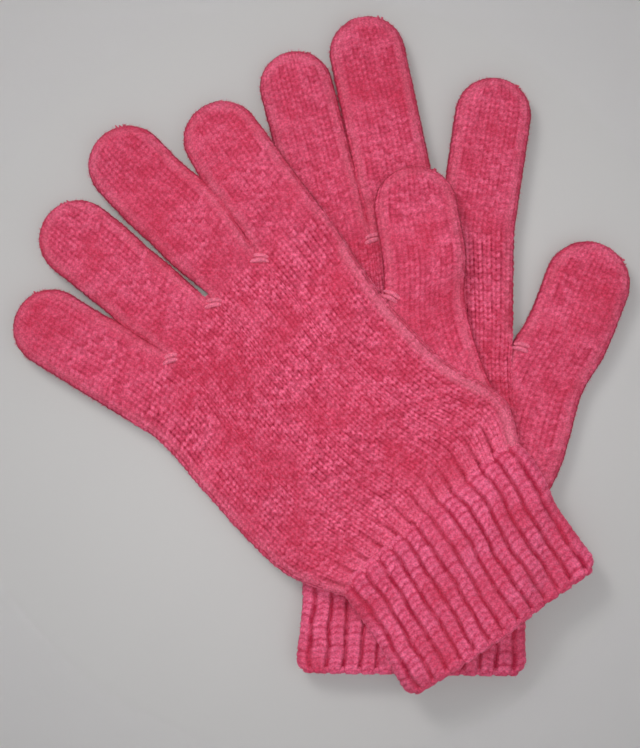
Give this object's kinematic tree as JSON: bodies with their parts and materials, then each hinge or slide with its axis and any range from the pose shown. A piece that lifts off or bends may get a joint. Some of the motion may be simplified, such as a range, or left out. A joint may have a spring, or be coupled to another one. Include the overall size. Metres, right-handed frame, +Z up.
{
  "type": "knitted gloves",
  "caption": "Pair of full-fingered knitted gloves with ribbed cuffs, lying flat with one crossed over the other; fingers, thumbs and the upper cuff bend up.",
  "frame": {"origin": "on the table under the middle of the lower glove's wrist", "axes": "+Z up from the table, +Y along the lower glove towards its fingertips, +X towards its thumb side"},
  "size_m": [0.223, 0.2442, 0.0161],
  "materials": {
    "plain_knit": "soft brushed plain knit",
    "rib_knit": "soft brushed one-by-one rib",
    "closing_yarn": "soft yarn stitches",
    "tail_yarn": "short yarn ends",
    "elastic_thread": "covered elastic thread"
  },
  "bodies": {
    "lower_glove": {"lower_hand": "plain_knit", "lower_cuff": "rib_knit", "lower_cuff_welt": "rib_knit", "lower_cuff_elastic": "elastic_thread", "lower_crotch_stitches": "closing_yarn", "lower_little_finger": "plain_knit", "lower_little_tail": "tail_yarn", "lower_ring_finger": "plain_knit", "lower_ring_tail": "tail_yarn", "lower_middle_finger": "plain_knit", "lower_index_finger": "plain_knit"},
    "lower_thumb": {"lower_thumb": "plain_knit", "lower_thumb_tail": "tail_yarn"},
    "lower_middle_fingertip": {"lower_middle_fingertip": "plain_knit", "lower_middle_tail": "tail_yarn"},
    "lower_index_fingertip": {"lower_index_fingertip": "plain_knit", "lower_index_tail": "tail_yarn"},
    "upper_hand": {"upper_hand": "plain_knit", "upper_crotch_stitches": "closing_yarn", "upper_little_finger": "plain_knit", "upper_ring_finger": "plain_knit", "upper_middle_finger": "plain_knit", "upper_index_finger": "plain_knit"},
    "upper_cuff": {"upper_cuff": "rib_knit", "upper_cuff_welt": "rib_knit", "upper_cuff_elastic": "elastic_thread"},
    "upper_little_fingertip": {"upper_little_fingertip": "plain_knit", "upper_little_tail": "tail_yarn"},
    "upper_ring_fingertip": {"upper_ring_fingertip": "plain_knit", "upper_ring_tail": "tail_yarn"},
    "upper_middle_fingertip": {"upper_middle_fingertip": "plain_knit", "upper_middle_tail": "tail_yarn"},
    "upper_index_fingertip": {"upper_index_fingertip": "plain_knit", "upper_index_tail": "tail_yarn"},
    "upper_thumb": {"upper_thumb": "plain_knit", "upper_thumb_tail": "tail_yarn"}
  },
  "joints": [
    {"name": "upper_glove_lift", "type": "slide", "parent": "lower_glove", "child": "upper_hand", "axis": [0, 0, 1], "range_m": [0, 0.15]},
    {"name": "lower_thumb_bend", "type": "hinge", "parent": "lower_glove", "child": "lower_thumb", "pos_m": [0.04749, 0.05941, 0.0076], "axis": [0.8475, -0.5309, 0], "range_deg": [0, 90]},
    {"name": "lower_middle_bend", "type": "hinge", "parent": "lower_glove", "child": "lower_middle_fingertip", "pos_m": [-0.00935, 0.13539, 0.0076], "axis": [0.9781, 0.2079, 0], "range_deg": [0, 90]},
    {"name": "lower_index_bend", "type": "hinge", "parent": "lower_glove", "child": "lower_index_fingertip", "pos_m": [0.02528, 0.13327, 0.0076], "axis": [0.989, -0.1478, 0], "range_deg": [0, 90]},
    {"name": "upper_little_bend", "type": "hinge", "parent": "upper_hand", "child": "upper_little_fingertip", "pos_m": [-0.11601, 0.06429, 0.0076], "axis": [0.5284, 0.849, 0], "range_deg": [0, 90]},
    {"name": "upper_ring_bend", "type": "hinge", "parent": "upper_hand", "child": "upper_ring_fingertip", "pos_m": [-0.10246, 0.09057, 0.0101], "axis": [0.6212, 0.7837, 0], "range_deg": [0, 90]},
    {"name": "upper_middle_bend", "type": "hinge", "parent": "upper_hand", "child": "upper_middle_fingertip", "pos_m": [-0.08426, 0.11204, 0.0158], "axis": [0.7266, 0.6871, 0], "range_deg": [0, 90]},
    {"name": "upper_index_bend", "type": "hinge", "parent": "upper_hand", "child": "upper_index_fingertip", "pos_m": [-0.05976, 0.12816, 0.0158], "axis": [0.8121, 0.5835, 0], "range_deg": [0, 90]},
    {"name": "upper_thumb_bend", "type": "hinge", "parent": "upper_hand", "child": "upper_thumb", "pos_m": [0.00334, 0.0846, 0.0158], "axis": [0.998, 0.0633, 0], "range_deg": [0, 90]},
    {"name": "upper_cuff_fold", "type": "hinge", "parent": "upper_hand", "child": "upper_cuff", "pos_m": [0.00573, 0.00491, 0.0158], "axis": [-0.7649, -0.6441, 0], "range_deg": [0, 90]}
  ]
}
